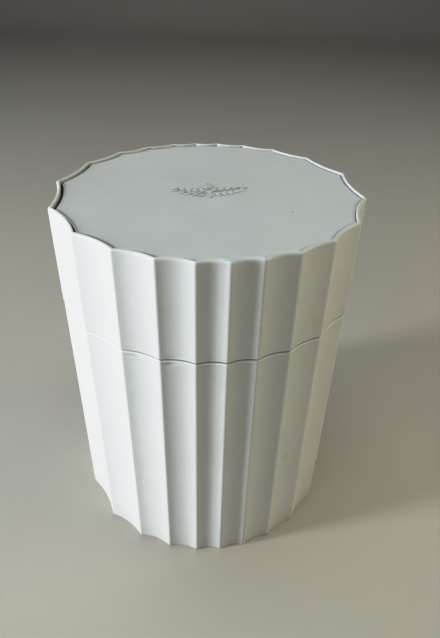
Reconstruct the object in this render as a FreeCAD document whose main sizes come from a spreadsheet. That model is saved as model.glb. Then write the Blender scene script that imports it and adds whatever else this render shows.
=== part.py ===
import FreeCAD, Part
import math
import os
import Sketcher

# Fluted storage canister with a lift-off lid.
# Frame: +Z up, origin at the centre of the foot ring, -Y is the front.
# Two bodies: the base (outer wall, floor, liner, deck, seal) and the lid.

V = FreeCAD.Vector
doc = FreeCAD.newDocument("fluted_canister")

# ---------------------------------------------------------------- dimensions
sheet = doc.addObject("Spreadsheet::Sheet", "dims")
DIMS = [
    ("total_height", 205.0),      # foot ring to the top of the lid's rim
    ("seam_height", 151.0),       # top edge of the base wall
    ("seam_gap", 0.3),            # between the base wall and the lid wall
    ("flute_count", 22),
    ("tip_radius", 82.04),        # mean radius of the arrises
    ("tip_oval", -0.0127),        # second harmonic of the arris radius
    ("spread_two", -0.2119),      # angular law of the arrises, 2nd harmonic
    ("spread_four", 0.0216),      # 4th harmonic
    ("spread_six", -0.0087),      # 6th harmonic
    ("flute_depth", 1.3),         # depth of a flute, before the share below
    ("flute_share", 0.024),       # of its width is added: wide ones are deeper
    ("base_inset", 0.25),         # the lid stands proud of the base by this
    ("skin", 0.8),                # sheet thickness of the outer walls
    ("hem_inner", 1.7),           # folded hem, two sheets thick
    ("hem_height", 4.0),
    ("floor_thick", 0.8),
    ("liner_radius", 70.5),       # outside of the liner
    ("liner_thick", 0.6),
    ("neck_top", 171.0),          # top of the liner's curled mouth
    ("curl_radius", 1.1),
    ("deck_drop", 4.0),           # deck ring below the base wall's top edge
    ("deck_thick", 0.8),
    ("deck_lip", 3.0),
    ("seal_low", 159.0),
    ("seal_high", 163.0),
    ("seal_outer", 71.9),
    ("cap_inner", 72.1),          # inside radius of the lid's cap
    ("cap_thick", 0.6),
    ("plate_inset", 3.2),         # plate outline inside the lid's outline
    ("plate_recess", 0.8),        # plate below the rim
    ("plate_thick", 0.8),
    ("plate_shift_x", 0.6),       # the plate sits a little off centre
    ("plate_shift_y", -0.1),
]
for row, (alias, value) in enumerate(DIMS, start=1):
    sheet.set("A%d" % row, alias)
    sheet.set("B%d" % row, str(value))
    sheet.setAlias("B%d" % row, alias)
doc.recompute()


def dim(alias):
    return float(sheet.get(alias))


# ------------------------------------------------------- the fluted outline
N = int(dim("flute_count"))


def arris(k):
    """Point on the k-th arris, counted from the front towards +X."""
    th = 2.0 * math.pi * k / N
    u = (th + dim("spread_two") * math.sin(2 * th)
         + dim("spread_four") * math.sin(4 * th)
         + dim("spread_six") * math.sin(6 * th))
    r = dim("tip_radius") * (1.0 + dim("tip_oval") * math.cos(2 * u))
    return (r * math.sin(u), -r * math.cos(u))


def flute_circles():
    """Each flute is an arc of a circle whose centre lies outside the wall."""
    out = []
    for k in range(N):
        ax, ay = arris(k)
        bx, by = arris(k + 1)
        chord = math.hypot(bx - ax, by - ay)
        sag = dim("flute_depth") + dim("flute_share") * chord
        rad = (chord * chord / 4.0 + sag * sag) / (2.0 * sag)
        mx, my = (ax + bx) / 2.0, (ay + by) / 2.0
        nx, ny = (by - ay) / chord, -(bx - ax) / chord
        if nx * mx + ny * my < 0:
            nx, ny = -nx, -ny
        out.append((mx + nx * (rad - sag), my + ny * (rad - sag), rad))
    return out


CIRCLES = flute_circles()


def corner(c0, c1, grow, near):
    """Meeting point of two neighbouring flute arcs, both grown inwards."""
    x0, y0, r0 = c0[0], c0[1], c0[2] + grow
    x1, y1, r1 = c1[0], c1[1], c1[2] + grow
    d = math.hypot(x1 - x0, y1 - y0)
    a = (r0 * r0 - r1 * r1 + d * d) / (2 * d)
    h = math.sqrt(max(r0 * r0 - a * a, 0.0))
    px, py = x0 + a * (x1 - x0) / d, y0 + a * (y1 - y0) / d
    cand = [(px + s * h * (y1 - y0) / d, py - s * h * (x1 - x0) / d) for s in (1, -1)]
    return min(cand, key=lambda q: math.hypot(q[0] - near[0], q[1] - near[1]))


def outline(inset):
    """Arcs of the fluted outline, parallel to the outermost one."""
    pts = [corner(CIRCLES[k - 1], CIRCLES[k], inset, arris(k)) for k in range(N)]
    arcs = []
    for k in range(N):
        cx, cy, rad = CIRCLES[k]
        rad += inset
        p, q = pts[k], pts[(k + 1) % N]
        mx, my = (p[0] + q[0]) / 2.0 - cx, (p[1] + q[1]) / 2.0 - cy
        m = math.hypot(mx, my)
        arcs.append((p, (cx + mx * rad / m, cy + my * rad / m), q))
    return arcs


# ----------------------------------------------------------------- builders
def new_body(name):
    body = doc.addObject("PartDesign::Body", name)
    body.Label = name
    body.Placement = FreeCAD.Placement(V(0, 0, 0), FreeCAD.Rotation())
    return body


def plane(body, role):
    return next(f for f in body.Origin.OriginFeatures if f.Role == role)


def new_sketch(body, name, role="XY_Plane", level=None):
    sk = body.newObject("Sketcher::SketchObject", name)
    sk.AttachmentSupport = [(plane(body, role), "")]
    sk.MapMode = "FlatFace"
    if level:
        sk.setExpression("AttachmentOffset.Base.z", level)
    return sk


def draw_fluted(sk, inset):
    first = sk.GeometryCount
    arcs = outline(inset)
    # an arc runs anticlockwise about its own centre, so from q back to p
    for p, m, q in arcs:
        sk.addGeometry(Part.Arc(V(q[0], q[1], 0), V(m[0], m[1], 0), V(p[0], p[1], 0)), False)
    for k in range(len(arcs)):
        j = (k + 1) % len(arcs)
        sk.addConstraint(Sketcher.Constraint("Coincident", first + k, 1, first + j, 2))


def draw_circle(sk, alias_expr):
    i = sk.addGeometry(Part.Circle(V(0, 0, 0), V(0, 0, 1), 50.0), False)
    sk.addConstraint(Sketcher.Constraint("Coincident", i, 3, -1, 1))
    c = sk.addConstraint(Sketcher.Constraint("Radius", i, 50.0))
    sk.setExpression("Constraints[%d]" % c, alias_expr)


def draw_poly(sk, pts):
    n = len(pts)
    first = sk.GeometryCount
    for i in range(n):
        a, b = pts[i], pts[(i + 1) % n]
        sk.addGeometry(Part.LineSegment(V(a[0], a[1], 0), V(b[0], b[1], 0)), False)
    for i in range(n):
        sk.addConstraint(Sketcher.Constraint("Coincident", first + i, 2, first + (i + 1) % n, 1))


def pad(body, sk, name, length):
    p = body.newObject("PartDesign::Pad", name)
    p.Profile = sk
    p.setExpression("Length", length)
    sk.Visibility = False
    return p


def revolve(body, sk, name):
    r = body.newObject("PartDesign::Revolution", name)
    r.Profile = sk
    r.ReferenceAxis = (sk, ["V_Axis"])
    r.Angle = 360.0
    sk.Visibility = False
    return r


def fluted_wall(name, inset, low, high):
    """Fluted sheet wall with a folded hem inside its bottom and top edges."""
    body = new_body(name)
    s1 = new_sketch(body, name + "_sketch", level=low)
    draw_fluted(s1, inset)
    draw_fluted(s1, inset + dim("hem_inner"))
    pad(body, s1, name + "_pad", "%s - (%s)" % (high, low))
    doc.recompute()
    thick = body.Shape.Volume
    # between the hems the wall is a single sheet
    s2 = new_sketch(body, name + "_relief_sketch", level="%s + dims.hem_height" % low)
    draw_fluted(s2, inset + dim("skin"))
    draw_circle(s2, "dims.liner_radius")
    p = body.newObject("PartDesign::Pocket", name + "_relief")
    p.Profile = s2
    p.Reversed = True
    p.setExpression("Length", "%s - (%s) - 2 * dims.hem_height" % (high, low))
    s2.Visibility = False
    doc.recompute()
    if body.Shape.Volume > 0.75 * thick:
        raise RuntimeError("%s: the relief removed too little" % name)
    return body


# --------------------------------------------------------------------- base
base_wall = fluted_wall("base_wall", dim("base_inset"), "0", "dims.seam_height")

# Scalloped floor plate, lying on the bottom hem inside the wall.
base_floor = new_body("base_floor")
sk = new_sketch(base_floor, "base_floor_sketch", level="dims.hem_height")
draw_fluted(sk, dim("base_inset") + dim("skin") + 0.05)
pad(base_floor, sk, "base_floor_pad", "dims.floor_thick")

# Round liner: rolled sheet tube whose mouth is curled outwards, standing on
# the floor plate and rising above the base wall as the lid's neck.
r_out = dim("liner_radius")
r_in = r_out - dim("liner_thick")
z_low = dim("hem_height") + dim("floor_thick")
z_top = dim("neck_top")
rc = dim("curl_radius")
liner_wall = new_body("liner_wall")
sk = new_sketch(liner_wall, "liner_wall_sketch", role="XZ_Plane")
draw_poly(sk, [(r_in, z_low), (r_out, z_low), (r_out, z_top - 1.5 * rc), (r_in, z_top - 1.5 * rc)])
revolve(liner_wall, sk, "liner_wall_tube")
sk = new_sketch(liner_wall, "liner_curl_sketch", role="XZ_Plane")
i = sk.addGeometry(Part.Circle(V(r_out, z_top - rc, 0), V(0, 0, 1), rc), False)
sk.addConstraint(Sketcher.Constraint("Radius", i, rc))
revolve(liner_wall, sk, "liner_wall_curl")

# Liner bottom: a disc with an upturned seam flange inside the tube.
liner_bottom = new_body("liner_bottom")
rb = r_in - 0.02
sk = new_sketch(liner_bottom, "liner_bottom_sketch", role="XZ_Plane")
draw_poly(sk, [(0, z_low + 2.0), (rb - 3.0, z_low + 2.0), (rb - 1.4, z_low + 0.4), (rb, z_low + 0.4),
               (rb, z_low + 5.0), (rb - 0.6, z_low + 5.0), (rb - 0.6, z_low + 1.0),
               (rb - 1.15, z_low + 1.0), (rb - 2.75, z_low + 2.6), (0, z_low + 2.6)])
revolve(liner_bottom, sk, "liner_bottom_disc")

# Deck ring: closes the space between the liner and the fluted wall just
# under the top hem, with a small lip turned up around the liner.
z_deck = dim("seam_height") - dim("deck_drop")
deck_ring = new_body("deck_ring")
sk = new_sketch(deck_ring, "deck_sketch",
                level="dims.seam_height - dims.deck_drop - dims.deck_thick")
draw_fluted(sk, dim("base_inset") + dim("skin") + 0.05)
draw_circle(sk, "dims.liner_radius + 0.02")
pad(deck_ring, sk, "deck_pad", "dims.deck_thick")
sk = new_sketch(deck_ring, "deck_lip_sketch", role="XZ_Plane")
ri = r_out + 0.02
draw_poly(sk, [(ri, z_deck - 0.4), (ri + 0.8, z_deck - 0.4), (ri + 0.8, z_deck + dim("deck_lip")),
               (ri, z_deck + dim("deck_lip"))])
revolve(deck_ring, sk, "deck_lip")

# Silicone ring around the neck with two wiping lips.
neck_seal = new_body("neck_seal")
zs, ze = dim("seal_low"), dim("seal_high")
so = dim("seal_outer")
zm = (zs + ze) / 2.0
sk = new_sketch(neck_seal, "neck_seal_sketch", role="XZ_Plane")
draw_poly(sk, [(ri, zs), (so - 0.5, zs), (so, zs + 0.7), (so - 0.5, zm - 0.3), (so - 0.5, zm + 0.3),
               (so, ze - 0.7), (so - 0.5, ze), (ri, ze)])
revolve(neck_seal, sk, "neck_seal_ring")

# ---------------------------------------------------------------------- lid
lid_wall = fluted_wall("lid_wall", 0.0, "dims.seam_height + dims.seam_gap", "dims.total_height")

# Cap: a drawn cup turned upside down that slides over the neck, with a
# scalloped flange that lies on the lid wall's bottom hem.
lid_cap = new_body("lid_cap")
ci = dim("cap_inner")
co = ci + dim("cap_thick")
z_flange = dim("seam_height") + dim("seam_gap") + dim("hem_height")
z_cap = dim("total_height") - dim("plate_recess") - dim("plate_thick")
ct = dim("cap_thick")
sk = new_sketch(lid_cap, "lid_cap_sketch", role="XZ_Plane")
draw_poly(sk, [(ci, z_flange), (co, z_flange), (co, z_cap - 3.0), (co - 0.9, z_cap - 0.9),
               (co - 3.0, z_cap), (0, z_cap), (0, z_cap - ct), (co - 3.0 - 0.25, z_cap - ct),
               (co - 0.9 - 0.45, z_cap - 0.9 - 0.45), (ci, z_cap - 3.0 - 0.25)])
revolve(lid_cap, sk, "lid_cap_cup")
sk = new_sketch(lid_cap, "lid_cap_flange_sketch",
                level="dims.seam_height + dims.seam_gap + dims.hem_height")
draw_fluted(sk, dim("skin") + 0.05)
draw_circle(sk, "dims.cap_inner + dims.cap_thick / 2")
pad(lid_cap, sk, "lid_cap_flange", "dims.cap_thick")

# Top plate: scalloped like the wall, set inside the rim with an open groove
# around it, and resting on the cap.
lid_plate = new_body("lid_plate")
sk = new_sketch(lid_plate, "lid_plate_sketch",
                level="dims.total_height - dims.plate_recess - dims.plate_thick")
draw_fluted(sk, dim("plate_inset"))
sk.setExpression("AttachmentOffset.Base.x", "dims.plate_shift_x")
sk.setExpression("AttachmentOffset.Base.y", "dims.plate_shift_y")
pad(lid_plate, sk, "lid_plate_pad", "dims.plate_thick")

# ------------------------------------------------------------ checks, export
doc.recompute()
PARTS = [base_wall, base_floor, liner_wall, liner_bottom, deck_ring, neck_seal,
         lid_wall, lid_cap, lid_plate]
bad = [o.Name for o in doc.Objects if "Invalid" in o.State or "Error" in o.State]
if bad:
    raise RuntimeError("failed objects: %s" % ", ".join(bad))
os.makedirs("parts", exist_ok=True)
for body in PARTS:
    shape = body.Shape
    if shape.isNull() or not shape.isValid() or len(shape.Solids) != 1:
        raise RuntimeError("bad shape: %s" % body.Label)
for body in PARTS:
    bb = body.Shape.BoundBox
    print("%-13s vol %10.1f  x %.2f..%.2f  y %.2f..%.2f  z %.2f..%.2f" % (
        body.Label, body.Shape.Volume, bb.XMin, bb.XMax, bb.YMin, bb.YMax, bb.ZMin, bb.ZMax))
    body.Shape.exportStep("parts/%s.step" % body.Label)
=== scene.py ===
import math

import bpy
import numpy as np
from mathutils import Matrix, Vector, noise


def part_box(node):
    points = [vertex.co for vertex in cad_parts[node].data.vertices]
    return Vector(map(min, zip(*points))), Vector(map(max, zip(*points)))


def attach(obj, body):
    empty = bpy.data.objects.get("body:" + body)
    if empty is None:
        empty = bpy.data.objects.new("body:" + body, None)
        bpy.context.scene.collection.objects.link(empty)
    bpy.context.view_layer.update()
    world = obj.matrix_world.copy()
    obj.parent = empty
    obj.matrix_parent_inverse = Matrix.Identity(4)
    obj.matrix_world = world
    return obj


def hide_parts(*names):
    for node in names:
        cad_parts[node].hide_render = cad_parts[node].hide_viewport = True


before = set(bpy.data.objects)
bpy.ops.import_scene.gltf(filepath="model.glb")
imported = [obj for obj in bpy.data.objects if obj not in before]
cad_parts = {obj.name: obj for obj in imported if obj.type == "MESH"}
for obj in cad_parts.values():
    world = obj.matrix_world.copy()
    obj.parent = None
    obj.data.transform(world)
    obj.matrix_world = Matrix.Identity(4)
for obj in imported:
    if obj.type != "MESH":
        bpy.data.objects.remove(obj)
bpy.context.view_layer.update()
scene = bpy.context.scene
MM = 0.001

# ------------------------------------------------------------------ outline
# The same law as the CAD outline: 22 concave flutes between sharp arrises,
# narrow at the front and back and wide at the sides.
N = 22
TIP_R, TIP_OVAL = 82.04, -0.0127
SP2, SP4, SP6 = -0.2119, 0.0216, -0.0087
DEPTH, SHARE = 1.3, 0.024


def arris(k):
    th = 2.0 * math.pi * k / N
    u = th + SP2 * math.sin(2 * th) + SP4 * math.sin(4 * th) + SP6 * math.sin(6 * th)
    r = TIP_R * (1.0 + TIP_OVAL * math.cos(2 * u))
    return np.array([r * math.sin(u), -r * math.cos(u)])


def flute_circles():
    out = []
    for k in range(N):
        a, b = arris(k), arris(k + 1)
        chord = float(np.linalg.norm(b - a))
        sag = DEPTH + SHARE * chord
        rad = (chord * chord / 4.0 + sag * sag) / (2.0 * sag)
        mid = (a + b) / 2.0
        n = np.array([(b - a)[1], -(b - a)[0]]) / chord
        if n @ mid < 0:
            n = -n
        out.append((mid + n * (rad - sag), rad))
    return out


CIRC = flute_circles()


def corner(k, grow):
    (c0, r0), (c1, r1) = CIRC[(k - 1) % N], CIRC[k % N]
    r0, r1 = r0 + grow, r1 + grow
    d = float(np.linalg.norm(c1 - c0))
    a = (r0 * r0 - r1 * r1 + d * d) / (2 * d)
    h = math.sqrt(max(r0 * r0 - a * a, 0.0))
    e = (c1 - c0) / d
    p = c0 + a * e
    q = [p + s * h * np.array([e[1], -e[0]]) for s in (1, -1)]
    near = arris(k)
    return min(q, key=lambda v: float(np.linalg.norm(v - near)))


NA, NF = 16, 8          # segments along a flute and round an arris
PER = NA + NF
RING = N * PER


def ring(inset, rho):
    """Closed outline parallel to the outermost one, its arrises rounded by rho (mm)."""
    rho = max(rho, 0.05)
    fil = []
    for k in range(N):
        (c0, r0), (c1, r1) = CIRC[(k - 1) % N], CIRC[k]
        p = corner(k, inset + rho)
        a = c0 + (p - c0) * (r0 + inset) / (r0 + inset + rho)
        b = c1 + (p - c1) * (r1 + inset) / (r1 + inset + rho)
        fil.append((p, a, b))
    pts = []
    for k in range(N):
        p, a, b = fil[k]
        t0 = math.atan2(a[1] - p[1], a[0] - p[0])
        t1 = math.atan2(b[1] - p[1], b[0] - p[0])
        dt = (t1 - t0 + math.pi) % (2 * math.pi) - math.pi
        for i in range(NF + 1):
            t = t0 + dt * i / NF
            pts.append(p + rho * np.array([math.cos(t), math.sin(t)]))
        c, r = CIRC[k]
        r = r + inset
        e = fil[(k + 1) % N][1]
        s0 = math.atan2(b[1] - c[1], b[0] - c[0])
        s1 = math.atan2(e[1] - c[1], e[0] - c[0])
        ds = (s1 - s0 + math.pi) % (2 * math.pi) - math.pi
        for i in range(1, NA):
            s = s0 + ds * i / NA
            pts.append(c + r * np.array([math.cos(s), math.sin(s)]))
    return np.array(pts)


# position along the outline: flute number and 0..1 across it, for the dents
RING_K = np.repeat(np.arange(N), PER)
RING_T = np.tile(np.concatenate([np.zeros(NF + 1), np.arange(1, NA) / NA]), N)


# ---------------------------------------------------------------- mesh kit
def make(name, verts, faces, body, replaces=(), smooth=True, sharp=None):
    me = bpy.data.meshes.new(name)
    me.from_pydata([tuple(v) for v in np.asarray(verts) * MM], [], faces)
    me.validate()
    me.update()
    ob = bpy.data.objects.new(name, me)
    scene.collection.objects.link(ob)
    if smooth:
        me.polygons.foreach_set("use_smooth", [True] * len(me.polygons))
    if sharp is not None:
        me.set_sharp_from_angle(angle=math.radians(sharp))
    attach(ob, body)
    if replaces:
        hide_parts(*replaces)
    return ob


def loft(rings, closed):
    """Quads between rings of the same count. rings: list of (n,3) arrays."""
    n = len(rings[0])
    verts = np.concatenate(rings)
    faces = []
    m = len(rings)
    for j in range(m if closed else m - 1):
        a, b = j * n, ((j + 1) % m) * n
        for i in range(n):
            i2 = (i + 1) % n
            faces.append((a + i, a + i2, b + i2, b + i))
    return verts, faces


def arc_path(cs, cz, rs, rz, a0, a1, n):
    """Points of an elliptic arc in the (inset, z) section; angles in degrees."""
    out = []
    for i in range(n + 1):
        a = math.radians(a0 + (a1 - a0) * i / n)
        out.append((cs + rs * math.cos(a), cz + rz * math.sin(a)))
    return out


def span(a, b, n):
    return [a + (b - a) * i / n for i in range(1, n)]


# ------------------------------------------------------------- main levels
z_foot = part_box("base_wall")[0].z / MM
z_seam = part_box("base_wall")[1].z / MM
z_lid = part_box("lid_wall")[0].z / MM
z_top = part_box("lid_wall")[1].z / MM
z_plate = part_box("lid_plate")[1].z / MM
SKIN, HEM, HEM_H = 0.8, 1.7, 4.0
BASE_IN = 0.25
RHO = 1.9                # outside radius of an arris


def waviness(k, t, z, seed):
    """Very slight unevenness of pressed sheet, in mm, positive inwards."""
    v = Vector((math.cos(2 * math.pi * (k + t) / N) * 2.2 + seed,
                math.sin(2 * math.pi * (k + t) / N) * 2.2, z * 0.018))
    return 0.05 * noise.noise(v) + 0.025 * noise.noise(v * 2.7)


# dents and lip marks: (body, flute number, place across it 0..1, z, half width
# across, half height in mm, depth in mm inwards)
DENTS = [
    ("base", 19, 0.34, 148.75, 0.22, 0.62, 0.85),
    ("base", 19, 0.34, 147.3, 0.26, 0.9, -0.22),
    ("base", 20, 0.30, 148.8, 0.26, 0.65, 0.70),
    ("base", 20, 0.42, 147.2, 0.24, 1.0, -0.18),
    ("base", 21, 0.34, 148.9, 0.20, 0.5, 0.22),
    ("base", 18, 0.45, 148.9, 0.30, 0.6, 0.10),
    ("base", 1, 0.40, 148.9, 0.30, 0.6, 0.12),
    ("base", 2, 0.30, 148.7, 0.22, 0.8, 0.20),
    ("base", 0, 0.86, 143.5, 0.10, 5.0, -0.10),
    ("lid", 19, 0.22, 152.9, 0.20, 0.6, 0.32),
    ("lid", 20, 0.42, 153.0, 0.26, 0.7, 0.36),
    ("lid", 21, 0.50, 152.8, 0.24, 0.5, 0.20),
    ("lid", 0, 0.90, 199.6, 0.12, 2.6, 0.26),
    ("lid", 0, 0.93, 173.5, 0.08, 4.5, -0.08),
    ("lid", 18, 0.35, 201.9, 0.10, 0.8, 0.20),
    ("lid", 18, 0.75, 201.6, 0.12, 0.7, 0.22),
    ("lid", 19, 0.30, 201.8, 0.14, 0.7, 0.20),
    ("lid", 17, 0.55, 201.9, 0.12, 0.9, 0.09),
    ("lid", 1, 0.35, 201.8, 0.16, 0.8, 0.10),
    ("lid", 3, 0.25, 201.7, 0.12, 0.9, 0.14),
]


def dent(body, z):
    """Inward push of the outer face at one level, for every outline point."""
    out = np.zeros(RING)
    for b, k, t, zc, hw, hh, depth in DENTS:
        if b != body or abs(z - zc) > 3.2 * hh:
            continue
        m = RING_K == (k % N)
        edge = np.sin(np.pi * np.clip(RING_T, 0, 1)) ** 0.6
        w = np.exp(-((RING_T - t) / hw) ** 2 * 1.6) * edge
        out += m * w * depth * math.exp(-((z - zc) / hh) ** 2)
    return out


def push(pts, amount):
    """Moves outline points inwards by amount (mm) along the outline's normal."""
    nxt, prv = np.roll(pts, -1, 0), np.roll(pts, 1, 0)
    t = nxt - prv
    t /= np.linalg.norm(t, axis=1)[:, None]
    nrm = np.stack([t[:, 1], -t[:, 0]], 1)       # outwards on an anticlockwise outline
    return pts - nrm * np.asarray(amount)[:, None]


def wall(name, body, inset, low, high, r_low, r_high, in_high, lip, seed, replaces):
    """Fluted sheet wall with folded hems, as one closed skin.

    r_low, r_high: (across, up) radii of the outer edges at the bottom and top;
    in_high: how far down the inner edge of the top fold is rounded."""
    sec = []
    sec += [("o",) + p for p in arc_path(inset + r_low[0], low + r_low[1], r_low[0], r_low[1], 270, 180, 6)]
    z_a, z_b = low + r_low[1], high - r_high[1]
    fine = (0.3, 0.6, 0.9, 1.2, 1.5, 1.9, 2.3, 2.8, 3.4, 4.2, 5.2)
    steps = [z_a + d for d in fine]
    steps += span(z_a + 5.2, z_b - 5.2, 16 if high - low < 80 else 32)
    steps += [z_b - d for d in reversed(fine)]
    sec += [("o", inset, z) for z in steps]
    sec += [("o",) + p for p in arc_path(inset + r_high[0], high - r_high[1], r_high[0], r_high[1], 180, 90, 8)]
    rest = HEM - r_high[0]
    sec += [("i",) + p for p in arc_path(inset + HEM - rest, high - in_high, rest, in_high, 90, 0, 5)[1:]]
    sec += [("i", inset + HEM, high - HEM_H + 0.4), ("i", inset + HEM - 0.15, high - HEM_H + 0.1),
            ("i", inset + HEM - 0.4, high - HEM_H), ("i", inset + SKIN + 0.1, high - HEM_H),
            ("i", inset + SKIN, high - HEM_H - 0.1)]
    sec += [("i", inset + SKIN, z) for z in span(high - HEM_H - 0.1, low + HEM_H + 0.1, 8)]
    sec += [("i", inset + SKIN, low + HEM_H + 0.1), ("i", inset + SKIN + 0.1, low + HEM_H),
            ("i", inset + HEM - 0.4, low + HEM_H), ("i", inset + HEM - 0.15, low + HEM_H - 0.1),
            ("i", inset + HEM, low + HEM_H - 0.4)]
    rest = HEM - r_low[0]
    sec += [("i",) + p for p in arc_path(inset + HEM - rest, low + r_low[1], rest, r_low[1], 0, -90, 5)[:-1]]
    rings = []
    for side, s, z in sec:
        pts = ring(s, RHO - (s - inset) * 0.75)
        if side == "o":
            fade = min(1.0, max(0.0, (z - low) / 3.0)) if body == "base" else 1.0
            amt = np.array([waviness(k, t, z, seed) for k, t in zip(RING_K, RING_T)]) * fade
            amt += dent(body, z)
            if lip:
                amt -= lip * math.exp(-((z - (high - 0.9)) / 0.6) ** 2) * np.sin(np.pi * RING_T) ** 0.5
            pts = push(pts, amt)
        rings.append(np.column_stack([pts, np.full(len(pts), z)]))
    v, f = loft(rings, True)
    return make(name, v, f, body, replaces=replaces)


base_sleeve = wall("base_sleeve", "base", BASE_IN, z_foot, z_seam, (0.7, 0.6), (1.0, 0.95), 0.5, 0.2, 3.1,
                   ("base_wall",))
lid_sleeve = wall("lid_sleeve", "lid", 0.0, z_lid, z_top, (0.75, 0.75), (1.15, 1.6), 0.6, 0.0, 7.7, ("lid_wall",))

# ----------------------------------------------------------------- top plate
PLATE_IN, PLATE_DX, PLATE_DY, PLATE_T = 3.2, 0.6, -0.1, 0.8
EDGE = 1.15               # how far in the pressed edge of the plate is rounded


def plate():
    sec = arc_path(PLATE_IN + EDGE, z_plate - 0.5, EDGE, 0.5, 180, 90, 9)
    # under the rounded edge the sheet turns out into a narrow flange that
    # lies beside the folded rim and closes most of the groove
    low = [(PLATE_IN + 2.0, z_plate - PLATE_T), (PLATE_IN + 1.1, z_plate - PLATE_T - 0.05),
           (PLATE_IN + 0.9, z_plate - 1.75), (PLATE_IN - 0.6, z_plate - 1.75),
           (PLATE_IN - 0.74, z_plate - 1.6), (PLATE_IN - 0.72, z_plate - 1.42),
           (PLATE_IN - 0.55, z_plate - 1.3), (PLATE_IN - 0.2, z_plate - 1.16),
           (PLATE_IN - 0.03, z_plate - 0.95), (PLATE_IN, z_plate - 0.75)]
    rings = []
    for s, z in low + sec:
        p = ring(s, 1.1 - (s - PLATE_IN) * 0.5)
        rings.append(np.column_stack([p, np.full(len(p), z)]))
    flat = len(rings)
    for s in (0.5, 1.0, 1.6, 2.3, 3.2, 4.4, 6.0):
        p = ring(PLATE_IN + EDGE + s, 0.5)
        rings.append(np.column_stack([p, np.full(len(p), z_plate)]))
    inner = ring(PLATE_IN + EDGE + 6.0, 0.5)
    for f in (0.97, 0.93, 0.87, 0.8, 0.7, 0.6, 0.5, 0.4, 0.3, 0.2, 0.1, 0.04):
        rings.append(np.column_stack([inner * f, np.full(len(inner), z_plate)]))
    v, f = loft(rings, False)
    n = RING
    top = len(v)
    v = np.vstack([v, [0, 0, z_plate], [0, 0, z_plate - PLATE_T]])
    last = (len(rings) - 1) * n
    for i in range(n):
        f.append((last + i, last + (i + 1) % n, top))
        f.append(((i + 1) % n, i, top + 1))
    # small puckers where each arris of the outline runs into the plate, and a
    # very slight hollow towards the middle
    tips = np.array([arris(k) for k in range(N)])
    for i in range(flat * n, top + 1):
        x, y = v[i, 0], v[i, 1]
        r = math.hypot(x, y)
        v[i, 2] -= 0.10 * max(0.0, 1 - (r / 76.0) ** 2)
        near = tips[np.argmin(np.hypot(tips[:, 0] - x, tips[:, 1] - y))]
        tl = math.hypot(near[0], near[1])
        d_in = tl - (x * near[0] + y * near[1]) / tl
        side = abs(x * near[1] - y * near[0]) / tl
        v[i, 2] -= 0.11 * math.exp(-((d_in - 8.0) / 2.6) ** 2 - (side / 2.2) ** 2)
        v[i, 2] += 0.012 * noise.noise(Vector((x * 0.07, y * 0.07, 1.7)))
    v[:, 0] += PLATE_DX
    v[:, 1] += PLATE_DY
    return make("top_plate", v, f, "lid", replaces=("lid_plate",), sharp=60)


top_plate = plate()

# -------------------------------------------------- pressed ornament on the lid
SPRIG_X, SPRIG_Y, SPRIG_TURN = -0.1, -1.6, -3.0     # middle on the plate, mm, and degrees


def leaf(x, y, ang, length, width, height, z0):
    """A low pointed dome, leaf shaped, with a crease along its middle."""
    n = 9
    ca, sa = math.cos(ang), math.sin(ang)
    verts, faces = [], []
    for i in range(n + 1):
        t = i / n
        w = width * 0.5 * math.sin(math.pi * t ** 0.8) ** 0.9
        rise = height * math.sin(math.pi * min(1.0, t * 0.92 + 0.04)) ** 0.5
        bend = 0.08 * length * math.sin(math.pi * t)
        for u, h in ((-1.0, -0.06), (-0.78, 0.45), (-0.4, 0.95), (0.0, 0.62), (0.4, 0.95), (0.78, 0.45), (1.0, -0.06)):
            px, py = t * length, u * w + bend
            verts.append((x + ca * px - sa * py, y + sa * px + ca * py,
                          z0 + (rise * h if h > 0 else h)))
    m = 7
    for i in range(n):
        for j in range(m - 1):
            a = i * m + j
            faces.append((a, a + m, a + m + 1, a + 1))
    under = len(verts)
    for i in range(n + 1):
        for j in (0, m - 1):
            vx = verts[i * m + j]
            verts.append((vx[0], vx[1], z0 - 0.12))
    for i in range(n):
        a, b = i * m, (i + 1) * m
        c, d = under + 2 * i, under + 2 * (i + 1)
        faces.append((a, c, d, b))
        faces.append((a + m - 1, b + m - 1, d + 1, c + 1))
        faces.append((c, c + 1, d + 1, d))
    faces.append(tuple(range(m)) + (under + 1, under))
    e = n * m
    faces.append(tuple(reversed(range(e, e + m))) + (under + 2 * n, under + 2 * n + 1))
    return verts, faces


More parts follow.
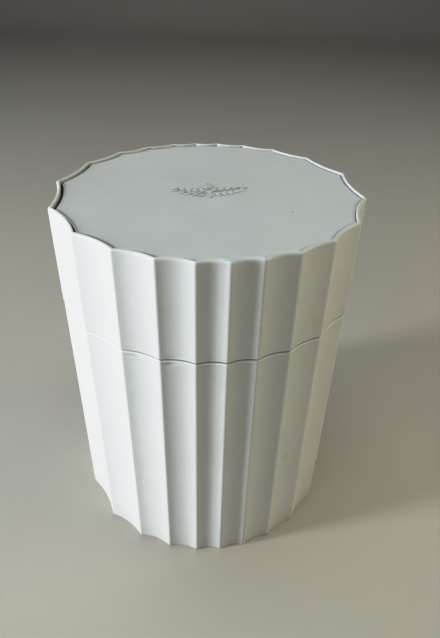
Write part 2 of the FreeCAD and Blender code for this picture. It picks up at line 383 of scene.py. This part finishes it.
def sprig():
    verts, faces = [], []

    def add(part):
        v, f = part
        o = len(verts)
        verts.extend(v)
        faces.extend(tuple(i + o for i in q) for q in f)

    z0 = z_plate - 0.09
    for side in (-1, 1):
        base = (0.9 * side, -0.2)
        for i in range(5):
            t = i / 4.0
            cx = side * (1.6 + 9.6 * t)
            cy = -0.9 + 2.2 * t * t
            out = math.radians(58 - 26 * t)
            ln, wd = 3.7 - 0.7 * t, 1.6 - 0.3 * t
            a = out if side > 0 else math.pi - out
            add(leaf(cx, cy + 0.25, a, ln, wd, 0.5, z0))
            b = -out * 0.82 if side > 0 else math.pi + out * 0.82
            add(leaf(cx, cy - 0.25, b, ln * 0.9, wd, 0.5, z0))
        add(leaf(side * 11.9, 1.5, math.radians(12) if side > 0 else math.radians(168), 3.0, 1.5, 0.5, z0))
        add(leaf(side * 0.5, -1.1, math.radians(12) if side > 0 else math.radians(168), 11.6, 0.9, 0.4, z0))
    add(leaf(0.0, 1.2, math.radians(90), 4.2, 2.2, 0.55, z0))
    add(leaf(-0.2, 1.0, math.radians(122), 3.4, 1.6, 0.5, z0))
    add(leaf(0.2, 1.0, math.radians(58), 3.4, 1.6, 0.5, z0))
    add(leaf(0.0, -2.0, math.radians(-90), 2.4, 1.5, 0.5, z0))
    v = np.array(verts)
    c, sn = math.cos(math.radians(SPRIG_TURN)), math.sin(math.radians(SPRIG_TURN))
    x, y = v[:, 0] * 1.42, v[:, 1] * 2.15
    v[:, 0] = c * x - sn * y + SPRIG_X
    v[:, 1] = sn * x + c * y + SPRIG_Y
    return make("lid_sprig", v, faces, "lid", sharp=40)


lid_sprig = sprig()

# ------------------------------------------------------------------ material
def nodes_of(mat):
    mat.use_nodes = True
    nt = mat.node_tree
    nt.nodes.clear()
    out = nt.nodes.new("ShaderNodeOutputMaterial")
    bsdf = nt.nodes.new("ShaderNodeBsdfPrincipled")
    nt.links.new(bsdf.outputs[0], out.inputs[0])
    return nt, bsdf


def coords(nt, scale=(1, 1, 1)):
    tc = nt.nodes.new("ShaderNodeTexCoord")
    mp = nt.nodes.new("ShaderNodeMapping")
    mp.inputs["Scale"].default_value = scale
    nt.links.new(tc.outputs["Object"], mp.inputs["Vector"])
    return mp.outputs["Vector"]


def noise_tex(nt, vec, scale, detail=2.0, rough=0.5):
    n = nt.nodes.new("ShaderNodeTexNoise")
    n.inputs["Scale"].default_value = scale
    n.inputs["Detail"].default_value = detail
    n.inputs["Roughness"].default_value = rough
    nt.links.new(vec, n.inputs["Vector"])
    return n.outputs["Fac"]


def ramp(nt, fac, stops):
    r = nt.nodes.new("ShaderNodeValToRGB")
    els = r.color_ramp.elements
    els[0].position, els[0].color = stops[0][0], stops[0][1]
    els[1].position, els[1].color = stops[-1][0], stops[-1][1]
    for p, c in stops[1:-1]:
        e = els.new(p)
        e.color = c
    nt.links.new(fac, r.inputs["Fac"])
    return r.outputs["Color"]


def rng(nt, fac, lo, hi, a, b):
    m = nt.nodes.new("ShaderNodeMapRange")
    m.inputs["From Min"].default_value = lo
    m.inputs["From Max"].default_value = hi
    m.inputs["To Min"].default_value = a
    m.inputs["To Max"].default_value = b
    nt.links.new(fac, m.inputs["Value"])
    return m.outputs["Result"]


def mix(nt, fac, a, b, blend="MIX"):
    m = nt.nodes.new("ShaderNodeMix")
    m.data_type = "RGBA"
    m.blend_type = blend
    if isinstance(fac, float):
        m.inputs[0].default_value = fac
    else:
        nt.links.new(fac, m.inputs[0])
    for i, v in ((6, a), (7, b)):
        if isinstance(v, tuple):
            m.inputs[i].default_value = v
        else:
            nt.links.new(v, m.inputs[i])
    return m.outputs[2]


def bump(nt, height, strength, dist, normal=None):
    b = nt.nodes.new("ShaderNodeBump")
    b.inputs["Strength"].default_value = strength
    b.inputs["Distance"].default_value = dist
    nt.links.new(height, b.inputs["Height"])
    if normal is not None:
        nt.links.new(normal, b.inputs["Normal"])
    return b.outputs["Normal"]


def spot(nt, centre, radius, strength):
    """A soft round mask about one place, in object coordinates (mm)."""
    tc = nt.nodes.new("ShaderNodeTexCoord")
    d = nt.nodes.new("ShaderNodeVectorMath")
    d.operation = "DISTANCE"
    nt.links.new(tc.outputs["Object"], d.inputs[0])
    d.inputs[1].default_value = tuple(c * MM for c in centre)
    return rng(nt, d.outputs["Value"], 0.25 * radius * MM, radius * MM, strength, 0.0)


def band(nt, z_mid, half, strength):
    """A soft level band round the object, heights in mm."""
    tc = nt.nodes.new("ShaderNodeTexCoord")
    sep = nt.nodes.new("ShaderNodeSeparateXYZ")
    nt.links.new(tc.outputs["Object"], sep.inputs[0])
    m = nt.nodes.new("ShaderNodeMath")
    m.operation = "SUBTRACT"
    nt.links.new(sep.outputs["Z"], m.inputs[0])
    m.inputs[1].default_value = z_mid * MM
    a = nt.nodes.new("ShaderNodeMath")
    a.operation = "ABSOLUTE"
    nt.links.new(m.outputs[0], a.inputs[0])
    return rng(nt, a.outputs[0], 0.6 * half * MM, half * MM, strength, 0.0)


def paint(name, base, rough, foot_dust, bands=(), spots=()):
    """Satin paint on pressed sheet: faint mottling, fine orange peel, dust, a painted highlight and
    painted shade at the joint between lid and base, and a few small marks, some of them painted highlights and shade."""
    mat = bpy.data.materials.new(name)
    nt, bsdf = nodes_of(mat)
    v = coords(nt)
    dark = tuple(c * 0.955 for c in base) + (1,)
    light = tuple(min(1.0, c * 1.012) for c in base) + (1,)
    cloud = noise_tex(nt, v, 26.0, 4.0, 0.6)
    col = ramp(nt, cloud, [(0.28, dark), (0.72, light)])
    fleck = noise_tex(nt, v, 900.0, 1.0, 0.5)
    fleck_mask = rng(nt, fleck, 0.745, 0.80, 0.0, 0.35)
    col = mix(nt, fleck_mask, col, tuple(c * 0.72 for c in base) + (1,))
    if foot_dust:
        tc = nt.nodes.new("ShaderNodeTexCoord")
        sep = nt.nodes.new("ShaderNodeSeparateXYZ")
        nt.links.new(tc.outputs["Object"], sep.inputs[0])
        low = rng(nt, sep.outputs["Z"], 0.0, 0.014, 0.55, 0.0)
        grime = noise_tex(nt, v, 120.0, 3.0, 0.6)
        gm = nt.nodes.new("ShaderNodeMath")
        gm.operation = "MULTIPLY"
        nt.links.new(low, gm.inputs[0])
        nt.links.new(grime, gm.inputs[1])
        col = mix(nt, gm.outputs[0], col, (base[0] * 0.80, base[1] * 0.76, base[2] * 0.66, 1))
    # level bands of colour, used for painted highlights and painted shade; left is the band's strength on the left
    # side, where the light falls
    for z_mid, half, strength, shade, left in bands:
        tc = nt.nodes.new("ShaderNodeTexCoord")
        sep = nt.nodes.new("ShaderNodeSeparateXYZ")
        nt.links.new(tc.outputs["Object"], sep.inputs[0])
        side = rng(nt, sep.outputs["X"], -0.058, -0.020, left, 1.0)
        mm = nt.nodes.new("ShaderNodeMath")
        mm.operation = "MULTIPLY"
        nt.links.new(band(nt, z_mid, half, strength), mm.inputs[0])
        nt.links.new(side, mm.inputs[1])
        col = mix(nt, mm.outputs[0], col, shade + (1,))
    # round spots of colour: a small stain, and painted highlights and painted shade
    for centre, radius, strength, shade in spots:
        col = mix(nt, spot(nt, centre, radius, strength), col, shade + (1,))
    nt.links.new(col, bsdf.inputs["Base Color"])
    rn = noise_tex(nt, v, 60.0, 3.0, 0.55)
    nt.links.new(rng(nt, rn, 0.3, 0.7, rough - 0.04, rough + 0.05), bsdf.inputs["Roughness"])
    peel = noise_tex(nt, v, 700.0, 2.0, 0.5)
    wave = noise_tex(nt, v, 45.0, 1.0, 0.4)
    nrm = bump(nt, wave, 0.10, 0.0006)
    nrm = bump(nt, peel, 0.10, 0.00006, nrm)
    nt.links.new(nrm, bsdf.inputs["Normal"])
    bsdf.inputs["Specular IOR Level"].default_value = 0.45
    bsdf.inputs["IOR"].default_value = 1.5
    return mat


PAINT = (0.785, 0.80, 0.79)
# dark colour for the painted shade in the joint between lid and base
SEAM_SHADE = (0.10, 0.09, 0.075)
# light colour for the painted highlight on the base's rounded top edge just below the seam
SEAM_HIGHLIGHT = (0.97, 0.97, 0.965)
m_paint = paint("satin_paint", PAINT, 0.42, True,
                # bands: a painted highlight along the base's rounded top edge below the seam, then painted shade in
                # the joint between lid and base, weaker on the left where the light falls
                bands=((z_seam - 0.62, 0.55, 0.9, SEAM_HIGHLIGHT, 1.0), ((z_seam + z_lid) / 2 + 0.08, 0.55, 0.85, SEAM_SHADE, 0.2)),
                spots=(((38.0, -69.1, 68.0), 3.4, 0.16, (0.42, 0.38, 0.30)),
                       # two painted highlights on the slight outward bulges in the front flute of the base and the lid
                       ((11.2, -78.6, 146.1), 2.2, 0.30, (0.95, 0.95, 0.95)),
                       ((12.9, -78.9, 172.5), 2.0, 0.25, (0.95, 0.95, 0.95))))
m_top = paint("satin_paint_plate", PAINT, 0.46, False,
              # a dark spot beside a white one: painted shade and painted highlight standing for a small dimple in the
              # plate
              spots=(((37.9, -31.8, z_plate), 1.3, 0.45, (0.25, 0.24, 0.22)),
                     ((39.2, -31.3, z_plate), 1.2, 0.5, (0.97, 0.97, 0.97))))

m_sprig = paint("satin_paint_relief", PAINT, 0.46, False,
                # a dark band at the foot of the relief: painted shade in the creases where the leaves meet the plate
                bands=((z_plate - 0.04, 0.30, 0.75, (0.22, 0.22, 0.21), 1.0),))


def tin(name, base, rough):
    mat = bpy.data.materials.new(name)
    nt, bsdf = nodes_of(mat)
    v = coords(nt, (1.0, 1.0, 22.0))
    streak = noise_tex(nt, v, 40.0, 4.0, 0.6)
    cloud = noise_tex(nt, coords(nt), 18.0, 3.0, 0.5)
    col = ramp(nt, streak, [(0.3, tuple(c * 0.90 for c in base) + (1,)), (0.7, base + (1,))])
    col = mix(nt, rng(nt, cloud, 0.4, 0.7, 0.0, 0.25), col, tuple(c * 0.86 for c in base) + (1,))
    nt.links.new(col, bsdf.inputs["Base Color"])
    nt.links.new(rng(nt, streak, 0.3, 0.7, rough - 0.05, rough + 0.08), bsdf.inputs["Roughness"])
    nt.links.new(bump(nt, streak, 0.08, 0.0001), bsdf.inputs["Normal"])
    bsdf.inputs["Metallic"].default_value = 1.0
    return mat


def silicone(name, base):
    mat = bpy.data.materials.new(name)
    nt, bsdf = nodes_of(mat)
    v = coords(nt)
    n = noise_tex(nt, v, 60.0, 3.0, 0.5)
    col = ramp(nt, n, [(0.3, tuple(c * 0.93 for c in base) + (1,)), (0.7, base + (1,))])
    nt.links.new(col, bsdf.inputs["Base Color"])
    nt.links.new(rng(nt, n, 0.3, 0.7, 0.50, 0.60), bsdf.inputs["Roughness"])
    nt.links.new(bump(nt, noise_tex(nt, v, 1500.0, 1.0), 0.08, 0.00005), bsdf.inputs["Normal"])
    bsdf.inputs["Specular IOR Level"].default_value = 0.35
    return mat


m_tin = tin("tinplate", (0.62, 0.62, 0.60), 0.34)
m_seal = silicone("seal_silicone", (0.70, 0.70, 0.68))


def assign(ob, mat):
    ob.data.materials.clear()
    ob.data.materials.append(mat)


assign(base_sleeve, m_paint)
assign(lid_sleeve, m_paint)
assign(top_plate, m_top)
assign(lid_sprig, m_sprig)
for n in ("base_floor", "deck_ring"):
    assign(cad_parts[n], m_paint)
for n in ("liner_wall", "liner_bottom", "lid_cap"):
    assign(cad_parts[n], m_tin)
assign(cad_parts["neck_seal"], m_seal)

# --------------------------------------------------------------------- stage
TURN = math.radians(8.506)    # the canister stands turned by this to the camera


def cam_dir(az, el):
    """Unit vector from the object, az from the camera's side (0) to its right (90)."""
    a, e = math.radians(az), math.radians(el)
    x, y = math.sin(a) * math.cos(e), -math.cos(a) * math.cos(e)
    c, s = math.cos(-TURN), math.sin(-TURN)
    return Vector((c * x - s * y, s * x + c * y, math.sin(e)))


def floor_mesh():
    me = bpy.data.meshes.new("stage_floor")
    prof = [(-3.0, 0.0), (2.2, 0.0)]
    for i in range(1, 13):
        a = math.radians(90 * i / 12)
        prof.append((2.2 + 0.9 * math.sin(a), 0.9 - 0.9 * math.cos(a)))
    prof.append((3.1, 4.0))
    v, f = [], []
    for (y, z) in prof:
        for x in (-5.0, 5.0):
            v.append((x, y, z))
    for i in range(len(prof) - 1):
        f.append((2 * i, 2 * i + 1, 2 * i + 3, 2 * i + 2))
    rot = Matrix.Rotation(-TURN, 4, "Z")
    me.from_pydata([tuple(rot @ Vector(p)) for p in v], [], f)
    me.polygons.foreach_set("use_smooth", [True] * len(me.polygons))
    ob = bpy.data.objects.new("stage_floor", me)
    scene.collection.objects.link(ob)
    mat = bpy.data.materials.new("stage_floor")
    nt, bsdf = nodes_of(mat)
    n = noise_tex(nt, coords(nt), 3.0, 3.0, 0.5)
    col = ramp(nt, n, [(0.2, (0.56, 0.53, 0.475, 1)), (0.8, (0.59, 0.56, 0.505, 1))])
    nt.links.new(col, bsdf.inputs["Base Color"])
    bsdf.inputs["Roughness"].default_value = 0.75
    me.materials.append(mat)
    return ob


floor_mesh()


def area(name, az, el, dist, size, size_y, power, colour, target=(0, 0, 0.11)):
    li = bpy.data.lights.new(name, "AREA")
    li.shape = "RECTANGLE"
    li.size, li.size_y = size, size_y
    li.energy = power
    li.color = colour
    ob = bpy.data.objects.new(name, li)
    scene.collection.objects.link(ob)
    t = Vector(target)
    ob.location = t + cam_dir(az, el) * dist
    ob.rotation_euler = (t - ob.location).to_track_quat("-Z", "Y").to_euler()
    return ob


def tint(rgb):
    """Power scale and colour of a light from its red, green and blue parts."""
    top = max(rgb)
    return top, tuple(c / top for c in rgb)


def lamp(name, az, el, dist, size, size_y, rgb):
    power, colour = tint(rgb)
    return area(name, az, el, dist, size, size_y, 10.0 * power, colour)


# a narrow cool window low on the left, a soft panel overhead, a broad weak
# panel at the front left and a warm one at the right
lamp("key_window", -72.5, 9, 1.6, 0.22, 0.5, (1.92, 2.03, 2.18))
lamp("top_soft", 0, 88, 1.5, 1.0, 1.0, (0.715, 0.765, 0.785))
lamp("front_soft", -35, 30, 1.3, 0.6, 0.5, (0.11, 0.11, 0.095))
lamp("fill_right", 88, 18, 1.4, 0.8, 0.6, (0.54, 0.50, 0.36))

world = bpy.data.worlds.new("studio")
scene.world = world
world.use_nodes = True
bg = world.node_tree.nodes.get("Background") or world.node_tree.nodes.new("ShaderNodeBackground")
bg.inputs["Color"].default_value = (1.0, 0.98, 0.95, 1)
bg.inputs["Strength"].default_value = 0.045

# -------------------------------------------------------------------- camera
cam = bpy.data.cameras.new("camera")
cam.sensor_fit = "AUTO"
cam.sensor_width = 36.0
cam.lens = 29.734
cam.clip_start = 0.02
cam_ob = bpy.data.objects.new("camera", cam)
scene.collection.objects.link(cam_ob)
right = Vector((0.99096871, -0.13216884, 0.02263659))
up = Vector((0.05752569, 0.5715108, 0.81857572))
back = -Vector((0.12112726, 0.80988074, -0.57395242))
m = Matrix((right, up, back)).transposed().to_4x4()
m.translation = Vector((-0.03195298, -0.2665112, 0.30885171))
cam_ob.matrix_world = m
scene.camera = cam_ob
scene.view_settings.view_transform = "Standard"

# tone curve: a soft toe, a steep middle and a long shoulder
WHITE = 1.6
TONE = [(0.0, 0.0), (0.12, 0.10), (0.22, 0.19), (0.33, 0.33), (0.45, 0.52), (0.60, 0.745), (0.80, 0.875), (1.1, 0.93), (1.5, 0.965)]
scene.view_settings.use_curve_mapping = True
cm = scene.view_settings.curve_mapping
cm.white_level = (WHITE, WHITE, WHITE)
pts = cm.curves[3].points
pts[0].location = (0.0, 0.0)
pts[1].location = (1.0, 0.97)
cm.extend = "HORIZONTAL"
for x, y in TONE[1:]:
    pts.new(x / WHITE, y)
cm.update()
